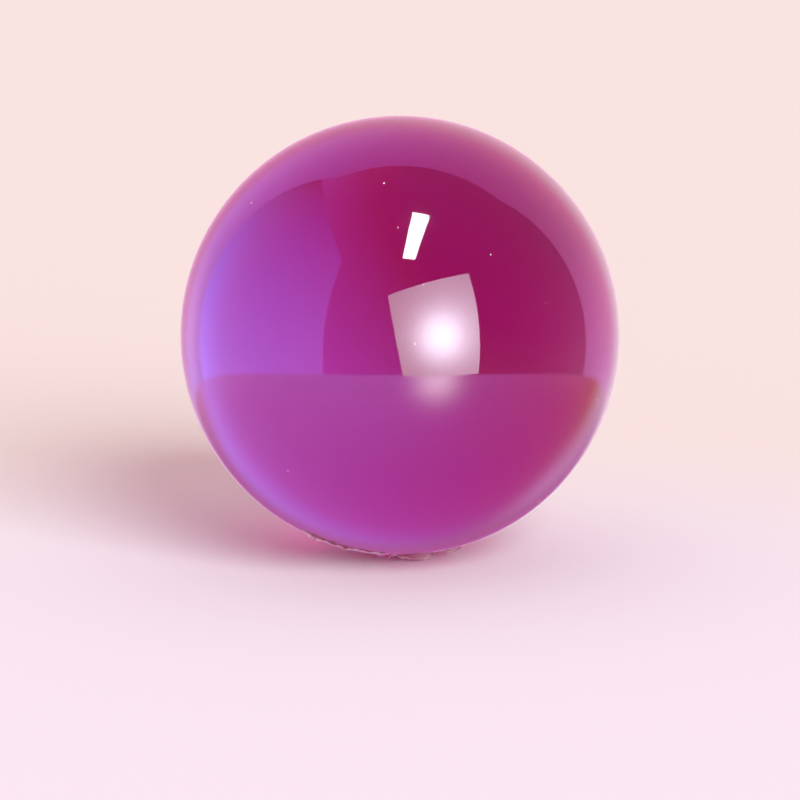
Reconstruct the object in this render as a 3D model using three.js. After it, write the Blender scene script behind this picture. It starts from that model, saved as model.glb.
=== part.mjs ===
// Cue ball: one solid ball cast in clear tinted resin, resting on three torn scraps of
// clear film that wedge it so that it can't roll away.
//
// Units are millimetres and +Z is up. The origin is on the surface that the film lies on,
// straight below the middle of the ball. -Y is the front.

import * as THREE from 'three';

// Driving dimensions.
const BALL_DIAMETER = 57.15;
const BALL_SEGMENTS_PER_EDGE = 16;
const FILM_THICKNESS = 0.3;
const FILM_GAP = 0.3;
const FILM_FOOT_RADIUS = 7.5;
const FILM_CLING_RADIUS = 11;
const FILM_STEPS = 8;

// Worked out from them.
const BALL_RADIUS = BALL_DIAMETER / 2;
const BALL_CENTRE_HEIGHT = FILM_THICKNESS + FILM_GAP + BALL_RADIUS;

// The scraps seen from above: each is a four-sided tear, given by its corners in the order
// front left, front right, back right, back left.
const FILM_SCRAPS = {
  film_left: [[-12.3, -8.9], [-1.9, -9.2], [-2.3, 3.4], [-10, 5.5]],
  film_centre: [[-1.4, -6.2], [5.3, -4.6], [5.6, 6.2], [-1.8, 6.6]],
  film_right: [[6, -3.6], [8.3, -3.1], [8.8, 3], [6.2, 4.8]],
};

const tintedResin = new THREE.MeshStandardMaterial({
  color: 0xa3287c,
  roughness: 0.03,
  metalness: 0,
  transparent: true,
  opacity: 0.65,
});

const clearFilm = new THREE.MeshStandardMaterial({
  color: 0xf6dbe8,
  roughness: 0.15,
  metalness: 0,
  transparent: true,
  opacity: 0.35,
});

function makeBall() {
  // An icosahedron split evenly has corners on all six poles, so its box is the full diameter.
  const geometry = new THREE.IcosahedronGeometry(BALL_RADIUS, BALL_SEGMENTS_PER_EDGE - 1);
  const ball = new THREE.Mesh(geometry, tintedResin);
  ball.name = 'ball';
  ball.position.z = BALL_CENTRE_HEIGHT;
  return ball;
}

// Height of the ball's underside above the surface, at a distance from its vertical axis.
function ballUnderside(distance) {
  return BALL_CENTRE_HEIGHT - Math.sqrt(BALL_RADIUS ** 2 - distance ** 2);
}

// Height of the film's underside: flat under the foot of the ball, then turned up until it
// clings to the ball's flank.
function filmUnderside(distance) {
  const cling = THREE.MathUtils.smoothstep(distance, FILM_FOOT_RADIUS, FILM_CLING_RADIUS);
  return cling * (ballUnderside(distance) - FILM_GAP - FILM_THICKNESS);
}

// A thin closed sheet: a gridded box bent so that its lower face follows filmUnderside.
function makeFilmScrap(name, corners) {
  const [frontLeft, frontRight, backRight, backLeft] = corners.map(([x, y]) => new THREE.Vector2(x, y));
  const geometry = new THREE.BoxGeometry(1, 1, FILM_THICKNESS, FILM_STEPS, FILM_STEPS, 1);
  const points = geometry.getAttribute('position');
  for (let i = 0; i < points.count; i += 1) {
    const across = points.getX(i) + 0.5;
    const front = frontLeft.clone().lerp(frontRight, across);
    const back = backLeft.clone().lerp(backRight, across);
    const place = front.lerp(back, points.getY(i) + 0.5);
    const aboveUnderside = points.getZ(i) + FILM_THICKNESS / 2;
    points.setXYZ(i, place.x, place.y, filmUnderside(place.length()) + aboveUnderside);
  }
  geometry.computeVertexNormals();
  const scrap = new THREE.Mesh(geometry, clearFilm);
  scrap.name = name;
  return scrap;
}

const cueBall = new THREE.Group();
cueBall.add(makeBall());
for (const [name, corners] of Object.entries(FILM_SCRAPS)) {
  cueBall.add(makeFilmScrap(name, corners));
}

export default cueBall;
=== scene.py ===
"""Looks for the cue ball: a solid ball of clear tinted resin on torn scraps of clear film.

Units are metres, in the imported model's own frame: +Z is up, and -Y is the front.
"""
import math
import random

import bmesh
import bpy
from mathutils import Matrix, Vector, noise


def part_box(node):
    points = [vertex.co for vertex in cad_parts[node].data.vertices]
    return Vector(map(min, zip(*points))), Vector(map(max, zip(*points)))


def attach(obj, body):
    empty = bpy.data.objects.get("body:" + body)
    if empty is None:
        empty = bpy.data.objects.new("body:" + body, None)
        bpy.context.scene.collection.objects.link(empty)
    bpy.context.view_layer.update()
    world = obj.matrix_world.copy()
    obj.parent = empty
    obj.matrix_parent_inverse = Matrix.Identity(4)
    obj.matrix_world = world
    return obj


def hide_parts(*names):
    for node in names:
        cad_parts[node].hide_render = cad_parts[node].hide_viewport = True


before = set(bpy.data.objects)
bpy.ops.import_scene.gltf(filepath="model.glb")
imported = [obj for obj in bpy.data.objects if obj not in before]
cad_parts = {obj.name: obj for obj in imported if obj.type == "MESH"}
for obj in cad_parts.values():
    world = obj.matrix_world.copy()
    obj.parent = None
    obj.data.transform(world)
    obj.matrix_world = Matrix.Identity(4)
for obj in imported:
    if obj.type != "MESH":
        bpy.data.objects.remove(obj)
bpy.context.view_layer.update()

MM = 0.001
BALL_LOW, BALL_HIGH = (Vector(corner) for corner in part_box("ball"))
BALL_CENTRE = (BALL_LOW + BALL_HIGH) / 2
BALL_RADIUS = (BALL_HIGH - BALL_LOW).x / 2


# ---------------------------------------------------------------- objects

def new_material(name):
    material = bpy.data.materials.new(name)
    material.use_nodes = True
    return material, material.node_tree, material.node_tree.nodes["Principled BSDF"]


def add_object(name, mesh, material):
    piece = bpy.data.objects.new(name, mesh)
    mesh.materials.append(material)
    bpy.context.collection.objects.link(piece)
    return piece


def finish_mesh(name, bm, smooth=True):
    for face in bm.faces:
        face.smooth = smooth
    mesh = bpy.data.meshes.new(name)
    bm.to_mesh(mesh)
    bm.free()
    return mesh


def direction(azimuth, elevation):
    """Unit vector from the ball: azimuth from the front towards +X, in degrees."""
    a, e = math.radians(azimuth), math.radians(elevation)
    return Vector((math.sin(a) * math.cos(e), -math.cos(a) * math.cos(e), math.sin(e)))


# ---------------------------------------------------------------- nodes

def plug(tree, socket, value):
    """Sets a socket from a number or a colour, or links it to another node's output."""
    if isinstance(value, (int, float)):
        socket.default_value = value
    elif isinstance(value, tuple):
        socket.default_value = (*value, 1) if len(socket.default_value) == 4 else value
    else:
        tree.links.new(value, socket)


def math_node(tree, operation, first, second=0.0, clamp=False):
    node = tree.nodes.new("ShaderNodeMath")
    node.operation = operation
    node.use_clamp = clamp
    plug(tree, node.inputs[0], first)
    plug(tree, node.inputs[1], second)
    return node.outputs[0]


def times(tree, first, second):
    return math_node(tree, "MULTIPLY", first, second)


def vector_node(tree, operation, *values):
    node = tree.nodes.new("ShaderNodeVectorMath")
    node.operation = operation
    for socket, value in zip(node.inputs, values):
        plug(tree, socket, value)
    return node.outputs["Value" if operation == "DOT_PRODUCT" else "Vector"]


def mix_colour(tree, factor, first, second):
    node = tree.nodes.new("ShaderNodeMix")
    node.data_type = "RGBA"
    plug(tree, node.inputs[0], factor)
    plug(tree, node.inputs[6], first)
    plug(tree, node.inputs[7], second)
    return node.outputs[2]


def ramp(tree, value, low, high):
    """0 where value is at low and 1 where it is at high, with a smooth step between."""
    node = tree.nodes.new("ShaderNodeMapRange")
    node.interpolation_type = "SMOOTHSTEP"
    plug(tree, node.inputs[0], value)
    node.inputs[1].default_value = low
    node.inputs[2].default_value = high
    return node.outputs[0]


def between(tree, value, first, second):
    """A number that goes evenly from first to second as value goes from 0 to 1."""
    node = tree.nodes.new("ShaderNodeMapRange")
    plug(tree, node.inputs[0], value)
    node.inputs[3].default_value = first
    node.inputs[4].default_value = second
    return node.outputs[0]


def every(tree, *masks):
    """1 where every mask is 1."""
    result = masks[0]
    for mask in masks[1:]:
        result = times(tree, result, mask)
    return result


def split_coordinates(tree, output):
    coordinates = tree.nodes.new("ShaderNodeTexCoord")
    split = tree.nodes.new("ShaderNodeSeparateXYZ")
    tree.links.new(coordinates.outputs[output], split.inputs[0])
    return split.outputs


def unevenness(tree, scale, detail=2.0, distortion=0.0):
    """A soft random pattern through the piece, from 0 to 1. The scale is in features per metre."""
    coordinates = tree.nodes.new("ShaderNodeTexCoord")
    pattern = tree.nodes.new("ShaderNodeTexNoise")
    pattern.inputs["Scale"].default_value = scale
    pattern.inputs["Detail"].default_value = detail
    pattern.inputs["Distortion"].default_value = distortion
    tree.links.new(coordinates.outputs["Object"], pattern.inputs["Vector"])
    return pattern.outputs[0]


# ---------------------------------------------------------------- camera

# The photograph's camera, worked out from the corners of the plinth that the ball stands on there.
CAMERA_DISTANCE_IN_RADII = 13.717
CAMERA_ELEVATION = 9.1
CAMERA_PITCH = 10.33
CAMERA_LENS = 135.1
CAMERA_SENSOR = 36
CAMERA_NEAR = 0.01


def make_camera():
    data = bpy.data.cameras.new("camera")
    data.lens = CAMERA_LENS
    data.sensor_width = CAMERA_SENSOR
    data.clip_start = CAMERA_NEAR
    camera = bpy.data.objects.new("camera", data)
    bpy.context.collection.objects.link(camera)
    distance = BALL_RADIUS * CAMERA_DISTANCE_IN_RADII
    camera.location = BALL_CENTRE + direction(0, CAMERA_ELEVATION) * distance
    camera.rotation_euler = (math.radians(90 - CAMERA_PITCH), 0, 0)
    bpy.context.scene.camera = camera


# ---------------------------------------------------------------- ball

# How strongly the resin absorbs red, green and blue, per metre.
RESIN_ABSORPTION = (19.0, 84.0, 34.0)
RESIN_IOR = 1.49
RESIN_ROUGHNESS = (0.13, 0.17)
RESIN_COLOURS = (1.0, 0.97, 1.0), (0.98, 1.0, 1.0)
RESIN_FLOW_SCALE, RESIN_FLOW_DETAIL, RESIN_FLOW_SWIRL = 45, 2, 1.2
# How edge-on the skin is seen, from 0 to 1, where it mirrors nothing and where it mirrors in full.
SKIN_FADE = (1.0, 0.4)
BALL_CUTS = 79


def make_resin():
    """Cast resin, a little uneven inside, under a clear polished skin."""
    material, tree, shader = new_material("tinted_resin")
    shader.inputs["Transmission Weight"].default_value = 1
    shader.inputs["IOR"].default_value = RESIN_IOR
    flow = unevenness(tree, RESIN_FLOW_SCALE, RESIN_FLOW_DETAIL, RESIN_FLOW_SWIRL)
    tree.links.new(mix_colour(tree, flow, *RESIN_COLOURS), shader.inputs["Base Color"])
    tree.links.new(between(tree, flow, *RESIN_ROUGHNESS), shader.inputs["Roughness"])

    # Only the skin mirrors what faces it: the rougher resin would add a second, blurred mirror.
    shader.inputs["Specular Tint"].default_value = (0, 0, 0, 1)
    edge_on = tree.nodes.new("ShaderNodeLayerWeight").outputs["Facing"]
    tree.links.new(ramp(tree, edge_on, *SKIN_FADE), shader.inputs["Coat Weight"])
    shader.inputs["Coat Roughness"].default_value = 0

    strongest = max(RESIN_ABSORPTION)
    absorption = tree.nodes.new("ShaderNodeVolumeAbsorption")
    absorption.inputs["Color"].default_value = (*(1 - each / strongest for each in RESIN_ABSORPTION), 1)
    absorption.inputs["Density"].default_value = strongest
    tree.links.new(absorption.outputs[0], tree.nodes["Material Output"].inputs["Volume"])
    return material


def make_ball():
    """A cube whose gridded faces are pushed out to the radius, so that the ball has no poles."""
    bm = bmesh.new()
    bmesh.ops.create_cube(bm, size=2)
    bmesh.ops.subdivide_edges(bm, edges=bm.edges, cuts=BALL_CUTS, use_grid_fill=True)
    for vertex in bm.verts:
        # equal angles instead of equal steps keep the faces nearly the same size
        spread = Vector(math.tan(c * math.pi / 4) for c in vertex.co)
        vertex.co = BALL_CENTRE + spread.normalized() * BALL_RADIUS
    ball = add_object("ball_resin", finish_mesh("ball_resin", bm), make_resin())
    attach(ball, "ball")
    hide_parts("ball")


# ---------------------------------------------------------------- film

# Each scrap's corners seen from above, in mm, in the order front left, front right, back right,
# back left, and how far its front rim stands up from the surface (0) to the ball (1), from left
# to right. The centre scrap's rim comes down from the ball to a point on the surface.
FILM_SCRAPS = {
    "film_left": {
        "body": "film", "seed": 11, "cells": (90, 70),
        "corners": ((-12.7, -9.8), (-1.8, -10.0), (-2.3, 3.4), (-10.0, 5.5)),
        "rim": ((0.0, 1.0), (1.0, 1.0)),
    },
    "film_centre": {
        "body": "ball", "seed": 29, "cells": (70, 80),
        "corners": ((-1.5, -7.0), (5.3, -3.4), (5.6, 6.2), (-1.8, 6.6)),
        "rim": ((0.0, 1.0), (0.26, 1.0), (0.6, 0.0), (0.64, 0.0), (0.92, 0.95), (1.0, 1.0)),
    },
    "film_right": {
        "body": "film", "seed": 47, "cells": (32, 60),
        "corners": ((6.0, -3.6), (8.3, -3.1), (8.8, 3.0), (6.2, 4.8)),
        "rim": ((0.0, 0.75), (0.6, 0.6), (1.0, 0.95)),
    },
}
# In mm: the sheet's thickness, how much thicker its lip is, and its gaps to the surface and ball.
FILM_SHEET, FILM_LIP = 0.05, 0.05
FILM_OFF_FLOOR, FILM_OFF_BALL = 0.07, 0.06
# As shares of the sheet, in from its edge: the lip, the torn margin and the turned-up front rim.
FILM_LIP_SHARE, FILM_TORN_SHARE, FILM_RIM_SHARE = 0.03, 0.14, 0.2
# In mm from the ball's axis, where the sheet turns up to the ball and where its front rim starts.
FILM_TURN_UP, FILM_RIM_START = (5.0, 8.0), (3.0, 6.0)
# In mm behind the axis, where the sheet comes down from the ball to the surface.
FILM_COME_DOWN = (-0.5, 3.0)
# In mm, how far in the torn outline lies, and how far waves, ripples and outward spikes move it.
TORN_IN, TORN_WAVE, TORN_RIPPLE, TORN_SPIKE = 0.3, 0.7, 0.35, 1.0
# Their scales, per mm.
WAVE_SCALE, RIPPLE_SCALE, SPIKE_SCALE = 0.45, 2.1, 1.1
# Two sizes of crease, each with its scale per mm, its shift of the seed and its share.
FILM_CREASES = ((0.42, 0.0, 0.65), (1.05, 0.5, 0.35))
# The crumple that moves the sheet neither up nor down, and how strongly more of it lifts the sheet.
FILM_FLAT_CRUMPLE, FILM_CRUMPLE_LIFT = 0.35, 0.5
# Off the ball: the scale per mm of the curled edges, where they start, and how far in mm the curl
# and the crumple reach.
FILM_CURL_SCALE, FILM_CURL_START = 0.9, 0.1
FILM_CURL_REACH, FILM_CRUMPLE_REACH = 0.9, 0.05
RADIUS_MM = BALL_RADIUS / MM
CENTRE_MM = BALL_CENTRE / MM


def smooth_step(value, low, high):
    t = min(max((value - low) / (high - low), 0.0), 1.0)
    return t * t * (3 - 2 * t)


def along(points, place):
    """The height, at a place, of a line of straight stretches."""
    for (x0, y0), (x1, y1) in zip(points, points[1:]):
        if place <= x1:
            return y0 + (y1 - y0) * (place - x0) / (x1 - x0)
    return points[-1][1]


def creases(x, y, scale, seed):
    """0 along the creases of a crumpled sheet, and up to about 1 in the middle of its facets."""
    near, far = noise.voronoi((x * scale, y * scale, seed))[0][:2]
    return far - near


def in_from_edge(u, v):
    return min(u, 1 - u, v, 1 - v)


def torn_place(u, v, scrap):
    """Where a point of the sheet lies seen from above, with the outline torn, mostly inwards."""
    corners = [Vector((*corner, 0)) for corner in scrap["corners"]]
    front = corners[0].lerp(corners[1], u)
    back = corners[3].lerp(corners[2], u)
    place = front.lerp(back, v)
    seed = scrap["seed"]
    torn = 1 - smooth_step(in_from_edge(u, v), 0.0, FILM_TORN_SHARE)
    inwards = (sum(corners, Vector()) / 4 - place).normalized()
    wave = TORN_WAVE * noise.noise(place * WAVE_SCALE + Vector((seed, 0, 0)))
    ripple = TORN_RIPPLE * noise.noise(place * RIPPLE_SCALE + Vector((0, seed, 0)))
    spike = TORN_SPIKE * max(0.0, noise.noise(place * SPIKE_SCALE + Vector((0, 0, seed)))) ** 2
    return place + inwards * torn * (TORN_IN + wave + ripple - spike), torn


def film_point(u, v, scrap):
    """A point of the sheet in mm, from 0 to 1 across and from 0 to 1 front to back."""
    place, torn = torn_place(u, v, scrap)
    x, y = place.x, place.y
    seed = scrap["seed"]
    distance = math.hypot(x, y)
    crumple = sum(share * creases(x, y, scale, seed + shift) for scale, shift, share in FILM_CREASES)

    # the share of the way from the surface up to the ball
    rise = max(smooth_step(distance, *FILM_TURN_UP), 1 - smooth_step(y, *FILM_COME_DOWN))
    rim = (1 - smooth_step(v, 0.0, FILM_RIM_SHARE)) * smooth_step(distance, *FILM_RIM_START)
    rise += (along(scrap["rim"], u) - rise) * rim
    rise += (crumple - FILM_FLAT_CRUMPLE) * FILM_CRUMPLE_LIFT * (1 - rise)
    rise = min(max(rise, 0.0), 1.0)
    # loose edges stand a little off the ball
    curl = max(0.0, noise.noise(place * FILM_CURL_SCALE + Vector((seed, seed, 0))) - FILM_CURL_START)
    loose = FILM_CURL_REACH * torn * curl + FILM_CRUMPLE_REACH * crumple
    reach = RADIUS_MM + FILM_OFF_BALL + loose
    by_ball = CENTRE_MM.z - math.sqrt(reach * reach - distance * distance)
    height = FILM_OFF_FLOOR + (by_ball - FILM_OFF_FLOOR) * rise
    return Vector((x, y, max(height, FILM_OFF_FLOOR)))


# Each look's transmission, its tinted and pale colours, and the haze at which it is tinted and pale.
# The tinted colour is painted light: on the sheet a pink for the ball's pink light on clear film,
# and on the edges a darker crimson, painted shade as under the ball's rim.
FILM_LOOK = 0.75, (0.98, 0.78, 0.86), (1.0, 0.94, 0.96), (0.2, 0.8)
# The edges' look: its darker crimson is painted shade, as under the ball's rim.
FILM_EDGE_PAINTED_SHADE_LOOK = 0.4, (0.70, 0.34, 0.48), (1.0, 0.88, 0.92), (0.46, 0.6)
FILM_IOR = 1.25
FILM_ROUGHNESS = (0.1, 0.3)
FILM_HAZE_SCALE, FILM_HAZE_DETAIL = 700, 4
FILM_CRINKLE_SCALE, FILM_CRINKLE_DETAIL = 1800, 3
FILM_CRINKLE_STRENGTH, FILM_CRINKLE_HEIGHT = 0.35, 0.03 * MM


def make_film_material(name, transmission, painted_tint, pale, haze_range):
    """Clear film, hazy and finely crinkled, with light and shade painted into its tinted colour."""
    material, tree, shader = new_material(name)
    haze = unevenness(tree, FILM_HAZE_SCALE, FILM_HAZE_DETAIL)
    colour = mix_colour(tree, ramp(tree, haze, *haze_range), painted_tint, pale)
    tree.links.new(colour, shader.inputs["Base Color"])
    tree.links.new(between(tree, haze, *FILM_ROUGHNESS), shader.inputs["Roughness"])
    shader.inputs["Transmission Weight"].default_value = transmission
    shader.inputs["IOR"].default_value = FILM_IOR
    bump = tree.nodes.new("ShaderNodeBump")
    bump.inputs["Strength"].default_value = FILM_CRINKLE_STRENGTH
    bump.inputs["Distance"].default_value = FILM_CRINKLE_HEIGHT
    crinkle = unevenness(tree, FILM_CRINKLE_SCALE, FILM_CRINKLE_DETAIL)
    tree.links.new(crinkle, bump.inputs["Height"])
    tree.links.new(bump.outputs[0], shader.inputs["Normal"])
    return material


def film_layers(bm, points, across, back):
    """The sheet's lower and upper grids of vertices, half its thickness to each side of it."""
    layers = []
    for side in (-0.5, 0.5):
        layer = []
        for i in range(across + 1):
            row = []
            for j in range(back + 1):
                along_u = points[min(i + 1, across)][j] - points[max(i - 1, 0)][j]
                along_v = points[i][min(j + 1, back)] - points[i][max(j - 1, 0)]
                normal = along_u.cross(along_v).normalized()
                lip = 1 - smooth_step(in_from_edge(i / across, j / back), 0.0, FILM_LIP_SHARE)
                offset = normal * side * (FILM_SHEET + FILM_LIP * lip)
                row.append(bm.verts.new((points[i][j] + offset) * MM))
            layer.append(row)
        layers.append(layer)
    return layers


def make_film_scrap(node, scrap, film, painted_shade_edge_film):
    """A thin closed sheet: two layers of a bent grid, joined round the edge."""
    across, back = scrap["cells"]
    points = [[film_point(i / across, j / back, scrap) for j in range(back + 1)]
              for i in range(across + 1)]
    bm = bmesh.new()
    lower, upper = film_layers(bm, points, across, back)
    for i in range(across):
        for j in range(back):
            at_edge = i in (0, across - 1) or j in (0, back - 1)
            top = bm.faces.new((upper[i][j], upper[i + 1][j], upper[i + 1][j + 1], upper[i][j + 1]))
            under = bm.faces.new((lower[i][j], lower[i][j + 1], lower[i + 1][j + 1], lower[i + 1][j]))
            # the outermost cells take the edge film, with its painted crimson shade
            top.material_index = under.material_index = int(at_edge)
    # round the rim, faces that take the edge film with its painted shade
    ring = [(i, 0) for i in range(across)] + [(across, j) for j in range(back)]
    ring += [(i, back) for i in range(across, 0, -1)] + [(0, j) for j in range(back, 0, -1)]
    for (i, j), (k, m) in zip(ring, ring[1:] + ring[:1]):
        bm.faces.new((lower[i][j], lower[k][m], upper[k][m], upper[i][j])).material_index = 1
    bmesh.ops.recalc_face_normals(bm, faces=bm.faces)
    name = node + "_scrap"
    piece = add_object(name, finish_mesh(name, bm, smooth=False), film)
    piece.data.materials.append(painted_shade_edge_film)
    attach(piece, scrap["body"])
    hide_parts(node)


def make_film():
    # the sheet's pink is painted light from the ball
    film = make_film_material("clear_film", *FILM_LOOK)
    # the edge look, with painted crimson shade
    edge = make_film_material("film_edge_painted_shade", *FILM_EDGE_PAINTED_SHADE_LOOK)
    for node, scrap in FILM_SCRAPS.items():
        make_film_scrap(node, scrap, film, edge)


# ---------------------------------------------------------------- dust on the ball

SPECK_COUNT = 60
SPECK_SIZE = (0.04 * MM, 0.1 * MM)
SPECK_STRETCH = (1, 2)
SPECK_BUMPS = (0.75, 1.25)
SPECK_FLATNESS = 0.5
SPECK_SEED = 7
DUST_COLOURS = (0.95, 0.88, 0.93), (1, 1, 1)
DUST_GRAIN_SCALE = 9000
DUST_ROUGHNESS = 0.8


def make_dust():
    """Flattened uneven specks, lying all over the ball."""
    material, tree, shader = new_material("dust")
    colour = mix_colour(tree, unevenness(tree, DUST_GRAIN_SCALE), *DUST_COLOURS)
    tree.links.new(colour, shader.inputs["Base Color"])
    shader.inputs["Roughness"].default_value = DUST_ROUGHNESS
    rng = random.Random(SPECK_SEED)
    bm = bmesh.new()
    for _ in range(SPECK_COUNT):
        across = rng.uniform(-1, 1)
        around = rng.uniform(0, 2 * math.pi)
        ring = math.sqrt(1 - across * across)
        outward = Vector((ring * math.cos(around), ring * math.sin(around), across))
        size = rng.uniform(*SPECK_SIZE)
        stretch = rng.uniform(*SPECK_STRETCH)
        corners = bmesh.ops.create_icosphere(bm, subdivisions=1, radius=size)["verts"]
        spin = Matrix.Rotation(rng.uniform(0, math.pi), 3, "Z")
        turn = outward.to_track_quat("Z", "Y").to_matrix() @ spin
        for corner in corners:
            corner.co *= rng.uniform(*SPECK_BUMPS)
            corner.co.x *= stretch
            corner.co.z *= SPECK_FLATNESS
            corner.co = BALL_CENTRE + outward * BALL_RADIUS + turn @ corner.co
    dust = add_object("ball_dust", finish_mesh("ball_dust", bm), material)
    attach(dust, "ball")


# ---------------------------------------------------------------- floor

# The floor is palest by the ball, and a little warmer and darker away from it.
FLOOR_NEAR = (0.93, 0.84, 0.92)
FLOOR_FAR = (0.91, 0.80, 0.775)
FLOOR_NEAR_MIDDLE = (0.0, -0.10)
FLOOR_NEAR_REACH = (0.10, 0.19)
FLOOR_RADIUS, FLOOR_SIDES = 3, 96
FLOOR_ROUGHNESS = 0.6


def make_floor():
    material, tree, shader = new_material("floor")
    x, y, _ = split_coordinates(tree, "Object")
    offsets = [math_node(tree, "SUBTRACT", each, middle)
               for each, middle in zip((x, y), FLOOR_NEAR_MIDDLE)]
    squares = [times(tree, each, each) for each in offsets]
    away = math_node(tree, "SQRT", math_node(tree, "ADD", *squares))
    colour = mix_colour(tree, ramp(tree, away, *FLOOR_NEAR_REACH), FLOOR_NEAR, FLOOR_FAR)
    tree.links.new(colour, shader.inputs["Base Color"])
    shader.inputs["Roughness"].default_value = FLOOR_ROUGHNESS
    shader.inputs["Specular IOR Level"].default_value = 0
    bm = bmesh.new()
    bmesh.ops.create_circle(bm, cap_ends=True, radius=FLOOR_RADIUS, segments=FLOOR_SIDES)
    floor = add_object("floor", finish_mesh("floor", bm, smooth=False), material)
    floor.visible_glossy = False


# ---------------------------------------------------------------- lights

KEY_AIM = (28, 27)
KEY_STRENGTH = 3.18
KEY_SPREAD = 36
KEY_COLOUR = (0.8, 1, 0.94)
STRIP_SIZE = (0.125, 0.55)
STRIP_MIDDLE = (0.12, -0.53)
STRIP_HEIGHT = 0.9
STRIP_TURN = -6.4
STRIP_POWER = 6.6
SOFTBOX_AIM = (19, 8)
SOFTBOX_DISTANCE = 0.9
# Corners across and up from the aim, as shares of the distance.
SOFTBOX_CORNERS = ((-0.451, 0.438), (-0.328, -0.357), (0.400, -0.357), (0.402, 0.602))
# Glows on the cloth, each with its middle and spread in metres and its strength, over a dim rest.
SOFTBOX_GLOWS = ((0.028, 0.0), 0.13, 19.0), ((0.15, 0.05), 0.3, 7.0)
SOFTBOX_DIM = 5.0
SOFTBOX_COLOUR = (0.84, 0.86, 1.0)


def bell(tree, values, middles, spread):
    """1 where the values are at their middles, falling to 0 over the spread."""
    total = 0.0
    for value, middle in zip(values, middles):
        offset = math_node(tree, "DIVIDE", math_node(tree, "SUBTRACT", value, middle), spread)
        total = math_node(tree, "ADD", times(tree, offset, offset), total)
    return math_node(tree, "POWER", math.e, times(tree, total, -0.5))


def make_softbox():
    """The bright cloth front of a softbox, seen only by the sharp reflections in the clear skin."""
    material = bpy.data.materials.new("softbox")
    material.use_nodes = True
    tree = material.node_tree
    tree.nodes.clear()
    x, y, _ = split_coordinates(tree, "Object")
    strength = SOFTBOX_DIM
    for middle, spread, peak in SOFTBOX_GLOWS:
        glow = times(tree, bell(tree, (x, y), middle, spread), peak)
        strength = math_node(tree, "ADD", glow, strength)
    sharp = tree.nodes.new("ShaderNodeLightPath").outputs["Is Singular Ray"]
    emission = tree.nodes.new("ShaderNodeEmission")
    plug(tree, emission.inputs[0], SOFTBOX_COLOUR)
    plug(tree, emission.inputs[1], times(tree, strength, sharp))
    output = tree.nodes.new("ShaderNodeOutputMaterial")
    tree.links.new(emission.outputs[0], output.inputs[0])

    bm = bmesh.new()
    corners = [Vector((*corner, 0)) * SOFTBOX_DISTANCE for corner in SOFTBOX_CORNERS]
    bm.faces.new([bm.verts.new(corner) for corner in corners])
    card = add_object("softbox", finish_mesh("softbox", bm, smooth=False), material)
    aim = direction(*SOFTBOX_AIM)
    across = direction(SOFTBOX_AIM[0] + 90, 0)
    up = aim.cross(across)
    turn = Matrix((across, up, across.cross(up))).transposed()
    card.matrix_world = Matrix.Translation(BALL_CENTRE + aim * SOFTBOX_DISTANCE) @ turn.to_4x4()
    card.visible_camera = False
    card.visible_diffuse = False
    card.visible_shadow = False
    card.visible_transmission = False


def add_light(name, kind, strength):
    data = bpy.data.lights.new(name, kind)
    data.energy = strength
    light = bpy.data.objects.new(name, data)
    bpy.context.collection.objects.link(light)
    light.visible_camera = False
    light.visible_transmission = False
    return light


def make_key():
    """A wide soft light that is as strong all over the floor. The ball doesn't mirror it."""
    key = add_light("key", "SUN", KEY_STRENGTH)
    key.data.angle = math.radians(KEY_SPREAD)
    key.data.color = KEY_COLOUR
    key.rotation_euler = (-direction(*KEY_AIM)).to_track_quat("-Z", "Y").to_euler()
    key.visible_glossy = False


def make_strip():
    """The narrow lamp overhead that the top of the ball mirrors. It lights nothing else."""
    strip = add_light("strip", "AREA", STRIP_POWER)
    strip.data.shape = "RECTANGLE"
    strip.data.size, strip.data.size_y = STRIP_SIZE
    strip.location = (*STRIP_MIDDLE, BALL_CENTRE.z + STRIP_HEIGHT)
    strip.rotation_euler = (0, 0, math.radians(STRIP_TURN))
    strip.visible_diffuse = False


# ---------------------------------------------------------------- surroundings

# The room as the ball mirrors it, by direction from the ball: a pale board behind, a cool bright
# wall on the left, a table below and a dark room in front and overhead. A slope limit is a ratio
# of two parts of the direction.
BOARD_LEFT, BOARD_RIGHT, BOARD_TOP = 1.27, 2.48, 3.25
WALL_CORNER, WALL_TOP, WALL_TOP_TILT = 0.83, 1.75, 0.2
TABLE_EDGE, TABLE_EDGE_TILT = -0.24, -0.05
EDGE_SOFTNESS = 0.012
# Each surface's light in the direction (0, 0, 0), and how it changes along x, y and z. These were
# fitted to the photograph by least squares, then rounded and adjusted.
ROOM_MIRRORED = (1.32, 0.38, 2.4), (-1.82, -0.38, -4.4), (0, 0, 0), (-1.07, -0.43, -3.2)
WALL_MIRRORED = (2.25, 0.68, 0.6), (0.55, -0.78, -7.75), (-1.35, -0.51, -4.4), (-1.5, -1.03, -3.0)
BOARD_MIRRORED = (0.65, 0.7, 3.0), (0.37, -0.05, -0.87), (0.87, 0.04, -1.62), (0.2, -0.41, -0.9)
TABLE_MIRRORED = (1.77, 1.14, 3.25), (-0.38, -0.4, -2.2), (-0.72, -0.4, -2.35), (0.81, 0.73, 0.6)
# What lies straight behind the ball, which its rim mirrors.
RIM_MIRRORED = (1.38, 0.8, 1.12), (0.35, 0.65, 0.3), (0, 0, 0), (0.2, -0.5, -0.55)
# The even surroundings that the resin's own blurred rim mirrors, all the way round.
SOFT_MIRRORED = (1.38, 0.8, 1.12), (0, 0, 0), (0, 0, 0), (0.2, -0.5, -0.55)
# The table under the ball, in its shadow.
FOOT_MIRRORED = (0.72, 0.17, 0.58)
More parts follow.
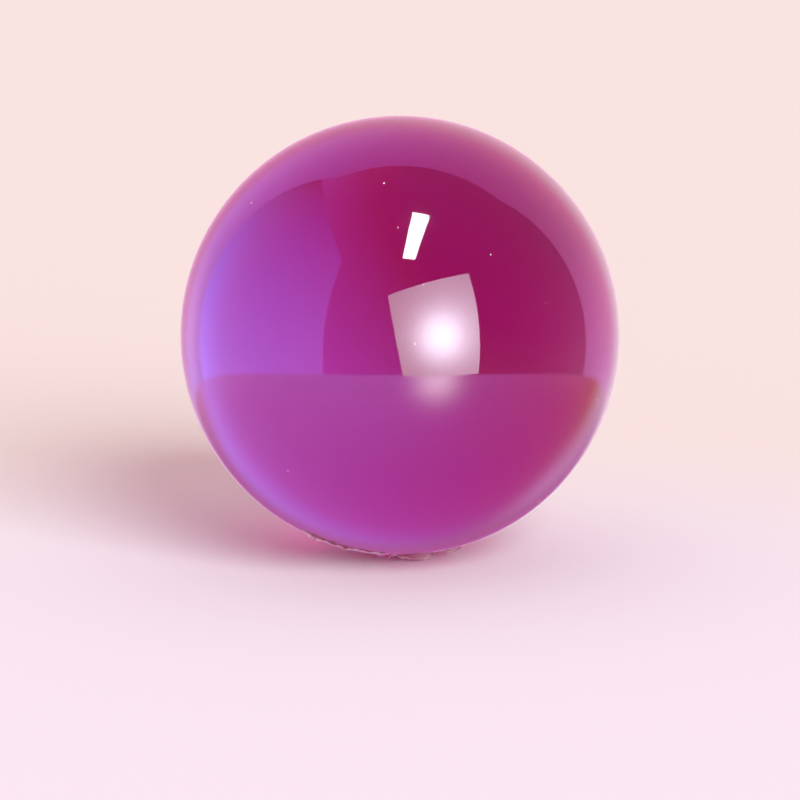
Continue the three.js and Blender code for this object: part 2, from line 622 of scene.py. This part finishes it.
# Glows, each with its direction, tightness and colour: the softbox, dim and blurred, in the sheen
# of the table, and two brighter stretches of the rim.
TABLE_SHINE = direction(19, -13), 54, (9.0, 8.5, 8.0)
RIM_GLOW_LEFT = direction(221, -6), 45, (0.7, 0.28, 0.1)
RIM_GLOW_RIGHT = direction(141, -34), 40, (0.42, 0.4, 0.9)
# The parts of the direction over which one light turns into another.
BOARD_TO_RIM_Y = (0.78, 0.94)
TABLE_TO_RIM_Y, TABLE_TO_RIM_Z = (0.5, 0.9), (-0.55, -0.3)
TABLE_TO_FOOT_Y, RIM_TO_FOOT_Z = (0.6, 0.93), (-0.2, -0.42)
SOFT_TO_ROOM_Y = (0.2, 0.6)
# The plain light that the camera sees, and that falls on the floor: past the ball and through it.
SEEN_ABOVE = (0.95, 0.78, 0.76)
LIT_FROM_ABOVE = (0.68, 0.5, 0.54)
LIT_THROUGH_BALL = (1.5, 1.75, 1.1)


def over(tree, value, limit):
    """1 where value is over limit, with a slightly soft edge."""
    return ramp(tree, math_node(tree, "SUBTRACT", value, limit), -EDGE_SOFTNESS, EDGE_SOFTNESS)


def graded(tree, parts, start, *slopes):
    """A colour that changes evenly with the direction."""
    colour = start
    for part, slope in zip(parts, slopes):
        colour = vector_node(tree, "MULTIPLY_ADD", part, slope, colour)
    return vector_node(tree, "MAXIMUM", colour, (0, 0, 0))


def add_glow(tree, light, aim, tightness, colour):
    """The light with a soft round glow of a colour added in the direction of aim."""
    here = tree.nodes["Texture Coordinate"].outputs["Generated"]
    toward = vector_node(tree, "DOT_PRODUCT", here, tuple(aim))
    away = times(tree, math_node(tree, "SUBTRACT", toward, 1.0), tightness)
    return vector_node(tree, "MULTIPLY_ADD", math_node(tree, "POWER", math.e, away), colour, light)


def mirrored_sharply(tree, parts):
    """The room that the clear skin mirrors."""
    x, y, z = parts
    rim = graded(tree, parts, *RIM_MIRRORED)
    light = graded(tree, parts, *ROOM_MIRRORED)

    wall_top = math_node(tree, "ADD", times(tree, x, -WALL_TOP), times(tree, y, WALL_TOP_TILT))
    wall = every(tree, over(tree, times(tree, x, -1), times(tree, y, -WALL_CORNER)),
                 over(tree, wall_top, z))
    light = mix_colour(tree, wall, light, graded(tree, parts, *WALL_MIRRORED))

    board = every(tree, over(tree, y, 0.0), over(tree, x, times(tree, y, -BOARD_LEFT)),
                  over(tree, times(tree, y, BOARD_RIGHT), x), over(tree, times(tree, y, BOARD_TOP), z))
    board_light = graded(tree, parts, *BOARD_MIRRORED)
    board_light = mix_colour(tree, ramp(tree, y, *BOARD_TO_RIM_Y), board_light, rim)
    light = mix_colour(tree, board, light, board_light)

    table_edge = math_node(tree, "ADD", times(tree, y, TABLE_EDGE_TILT), TABLE_EDGE)
    table_light = add_glow(tree, graded(tree, parts, *TABLE_MIRRORED), *TABLE_SHINE)
    beside = every(tree, ramp(tree, y, *TABLE_TO_RIM_Y), ramp(tree, z, *TABLE_TO_RIM_Z))
    table_light = mix_colour(tree, beside, table_light, rim)
    under = every(tree, ramp(tree, y, *TABLE_TO_FOOT_Y), ramp(tree, z, *RIM_TO_FOOT_Z))
    table_light = mix_colour(tree, under, table_light, FOOT_MIRRORED)
    light = mix_colour(tree, over(tree, table_edge, z), light, table_light)

    for glow in (RIM_GLOW_LEFT, RIM_GLOW_RIGHT):
        light = add_glow(tree, light, *glow)
    return light


def mirrored_softly(tree, parts, room):
    """What the resin's blurred rim mirrors: even surroundings, turning into the room behind."""
    y, z = parts[1:]
    light = graded(tree, parts, *SOFT_MIRRORED)
    light = mix_colour(tree, ramp(tree, z, *RIM_TO_FOOT_Z), light, FOOT_MIRRORED)
    return mix_colour(tree, ramp(tree, y, *SOFT_TO_ROOM_Y), light, room)


def make_world():
    """One light for reflections, another for the camera, and a third for the floor."""
    world = bpy.data.worlds.new("studio")
    world.use_nodes = True
    bpy.context.scene.world = world
    tree = world.node_tree
    path = tree.nodes.new("ShaderNodeLightPath")
    parts = split_coordinates(tree, "Generated")
    room = mirrored_sharply(tree, parts)
    mirrored = mix_colour(tree, path.outputs["Is Singular Ray"], mirrored_softly(tree, parts, room), room)

    # a ray that has passed through something counts as a glossy one too
    through = path.outputs["Is Transmission Ray"]
    reflected = math_node(tree, "SUBTRACT", path.outputs["Is Glossy Ray"], through, clamp=True)
    from_floor = math_node(tree, "MINIMUM", path.outputs["Diffuse Depth"], 1.0)
    lit = mix_colour(tree, through, LIT_FROM_ABOVE, LIT_THROUGH_BALL)
    seen = mix_colour(tree, from_floor, SEEN_ABOVE, lit)
    plug(tree, tree.nodes["Background"].inputs[0], mix_colour(tree, reflected, seen, mirrored))


bpy.context.scene.view_settings.view_transform = "Standard"
make_camera()
make_ball()
make_film()
make_dust()
make_floor()
make_softbox()
make_key()
make_strip()
make_world()
